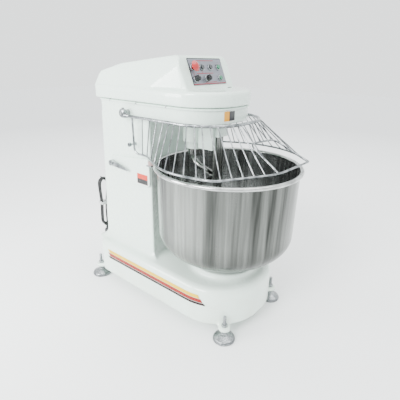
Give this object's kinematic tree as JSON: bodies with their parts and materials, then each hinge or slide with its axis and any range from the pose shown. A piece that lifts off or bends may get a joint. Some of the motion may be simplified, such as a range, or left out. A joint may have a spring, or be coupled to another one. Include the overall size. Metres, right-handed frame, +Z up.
{
  "type": "spiral dough mixer",
  "caption": "Floor-standing spiral dough mixer: turning steel bowl, spiral hook and breaker bar under a lifting wire guard, head with sloping control panel.",
  "frame": {"origin": "on the floor, under the middle of the machine's footprint without its cord", "axes": "+Z up, -Y towards the operator's side where the bowl is, +X to the right of the operator facing the machine"},
  "size_m": [0.7283, 1.2038, 1.2826],
  "materials": {
    "enamel": "gloss",
    "stainless": "brushed",
    "chrome": "polished",
    "zinc": "zinc plated",
    "steel": "machined",
    "panel": "brushed",
    "trim": "printed film",
    "label": "printed film",
    "badge": "printed film",
    "red": "gloss",
    "green": "gloss",
    "black": "satin",
    "dark_lens": "gloss",
    "motor_paint": "satin",
    "cast_iron": "cast",
    "rubber": "matt",
    "roller": "satin",
    "tie": "satin"
  },
  "bodies": {
    "machine": {"base_bottom_plate": "zinc", "base_casting": "enamel", "bearings_and_bushes": "steel", "bowl_bearing_housing": "enamel", "bowl_belt": "rubber", "bowl_motor": "motor_paint", "breaker_bar": "stainless", "breaker_bracket": "enamel", "button_bezels": "chrome", "column_rear_cover": "enamel", "column_shell": "enamel", "contact_blocks": "black", "control_panel": "panel", "cord_gland_and_hook": "black", "cord_hank": "rubber", "cord_tie": "tie", "fasteners": "zinc", "head_badge": "badge", "head_casting": "enamel", "head_lid": "enamel", "mains_cord": "rubber", "plug": "rubber", "roller_brackets": "chrome", "side_covers": "enamel", "side_label": "label", "side_pins": "chrome", "side_stripes": "trim", "spindle_housing": "enamel", "spiral_belt": "rubber", "spiral_motor": "motor_paint", "switchgear": "black"},
    "bowl": {"bowl": "stainless", "bowl_turntable": "steel", "bowl_shaft": "steel", "bowl_pulley": "cast_iron"},
    "spiral": {"spiral_tool": "stainless", "spindle": "steel", "spindle_pulley": "cast_iron"},
    "bowl_motor_rotor": {"bowl_motor_shaft_and_pulley": "cast_iron"},
    "spiral_motor_rotor": {"spiral_motor_shaft_and_pulley": "cast_iron"},
    "guard": {"guard_top_rod": "chrome", "guard_lower_rod": "chrome", "guard_feed_frame": "chrome", "guard_wires": "chrome", "guard_clamps": "chrome", "guard_pivot_pins": "steel"},
    "button_bowl_jog": {"button_bowl_jog": "dark_lens"},
    "button_bowl_start": {"button_bowl_start": "green"},
    "button_light": {"button_light": "dark_lens"},
    "button_start": {"button_start": "green"},
    "emergency_button": {"emergency_button": "red"},
    "foot_front_left": {"foot_front_left": "zinc"},
    "foot_front_right": {"foot_front_right": "zinc"},
    "foot_rear_left": {"foot_rear_left": "zinc"},
    "foot_rear_right": {"foot_rear_right": "zinc"},
    "guide_roller_left": {"guide_roller_left": "roller"},
    "guide_roller_right": {"guide_roller_right": "roller"},
    "side_lever": {"side_lever": "chrome"},
    "timer_knob_high_speed": {"timer_knob_high_speed": "black"},
    "timer_knob_low_speed": {"timer_knob_low_speed": "black"}
  },
  "joints": [
    {"name": "bowl_turn", "type": "hinge", "parent": "machine", "child": "bowl", "pos_m": [0, -0.224, 0.3], "axis": [0, 0, 1], "continuous": true},
    {"name": "spiral_turn", "type": "hinge", "parent": "machine", "child": "spiral", "pos_m": [0, -0.016, 0.9], "axis": [0, 0, 1], "continuous": true},
    {"name": "bowl_motor_turn", "type": "hinge", "parent": "machine", "child": "bowl_motor_rotor", "pos_m": [0, 0.256, 0.2], "axis": [0, 0, 1], "continuous": true},
    {"name": "spiral_motor_turn", "type": "hinge", "parent": "machine", "child": "spiral_motor_rotor", "pos_m": [0, 0.336, 1], "axis": [0, 0, 1], "continuous": true},
    {"name": "guard_lift", "type": "hinge", "parent": "machine", "child": "guard", "pos_m": [0, 0.244, 1.016], "axis": [-1, 0, 0], "range_deg": [0, 65]},
    {"name": "emergency_button_press", "type": "slide", "parent": "machine", "child": "emergency_button", "axis": [0, 0.9205, -0.3907], "range_m": [0, 0.005], "stiffness_N_per_m": 3000},
    {"name": "button_light_press", "type": "slide", "parent": "machine", "child": "button_light", "axis": [0, 0.9205, -0.3907], "range_m": [0, 0.003], "stiffness_N_per_m": 1500},
    {"name": "button_bowl_jog_press", "type": "slide", "parent": "machine", "child": "button_bowl_jog", "axis": [0, 0.9205, -0.3907], "range_m": [0, 0.003], "stiffness_N_per_m": 1500},
    {"name": "button_start_press", "type": "slide", "parent": "machine", "child": "button_start", "axis": [0, 0.9205, -0.3907], "range_m": [0, 0.003], "stiffness_N_per_m": 1500},
    {"name": "timer_knob_low_speed_turn", "type": "hinge", "parent": "machine", "child": "timer_knob_low_speed", "pos_m": [-0.096, -0.09764, 1.18326], "axis": [0, 0.9205, -0.3907], "range_deg": [0, 300]},
    {"name": "timer_knob_high_speed_turn", "type": "hinge", "parent": "machine", "child": "timer_knob_high_speed", "pos_m": [-0.017, -0.09764, 1.18326], "axis": [0, 0.9205, -0.3907], "range_deg": [0, 300]},
    {"name": "button_bowl_start_press", "type": "slide", "parent": "machine", "child": "button_bowl_start", "axis": [0, 0.9205, -0.3907], "range_m": [0, 0.003], "stiffness_N_per_m": 1500},
    {"name": "side_lever_turn", "type": "hinge", "parent": "machine", "child": "side_lever", "pos_m": [-0.23, 0.37195, 0.742], "axis": [-1, 0, 0], "range_deg": [0, 75]},
    {"name": "guide_roller_left_turn", "type": "hinge", "parent": "machine", "child": "guide_roller_left", "pos_m": [-0.2235, 0.0725, 0.794], "axis": [0, 0, 1], "continuous": true},
    {"name": "guide_roller_right_turn", "type": "hinge", "parent": "machine", "child": "guide_roller_right", "pos_m": [0.2235, 0.0725, 0.794], "axis": [0, 0, 1], "continuous": true},
    {"name": "foot_front_left_adjust", "type": "hinge", "parent": "machine", "child": "foot_front_left", "pos_m": [-0.2185, -0.4, 0.05], "axis": [0, 0, 1], "continuous": true},
    {"name": "foot_front_right_adjust", "type": "hinge", "parent": "machine", "child": "foot_front_right", "pos_m": [0.2185, -0.4, 0.05], "axis": [0, 0, 1], "continuous": true},
    {"name": "foot_rear_left_adjust", "type": "hinge", "parent": "machine", "child": "foot_rear_left", "pos_m": [-0.2545, 0.526, 0.05], "axis": [0, 0, 1], "continuous": true},
    {"name": "foot_rear_right_adjust", "type": "hinge", "parent": "machine", "child": "foot_rear_right", "pos_m": [0.2545, 0.526, 0.05], "axis": [0, 0, 1], "continuous": true}
  ],
  "couplings": [
    {"joint": "bowl_motor_turn", "follows": "bowl_turn", "ratio": 3},
    {"joint": "spiral_motor_turn", "follows": "spiral_turn", "ratio": 2.5455},
    {"joint": "guide_roller_left_turn", "follows": "bowl_turn", "ratio": -23.733},
    {"joint": "guide_roller_right_turn", "follows": "bowl_turn", "ratio": -23.733}
  ]
}
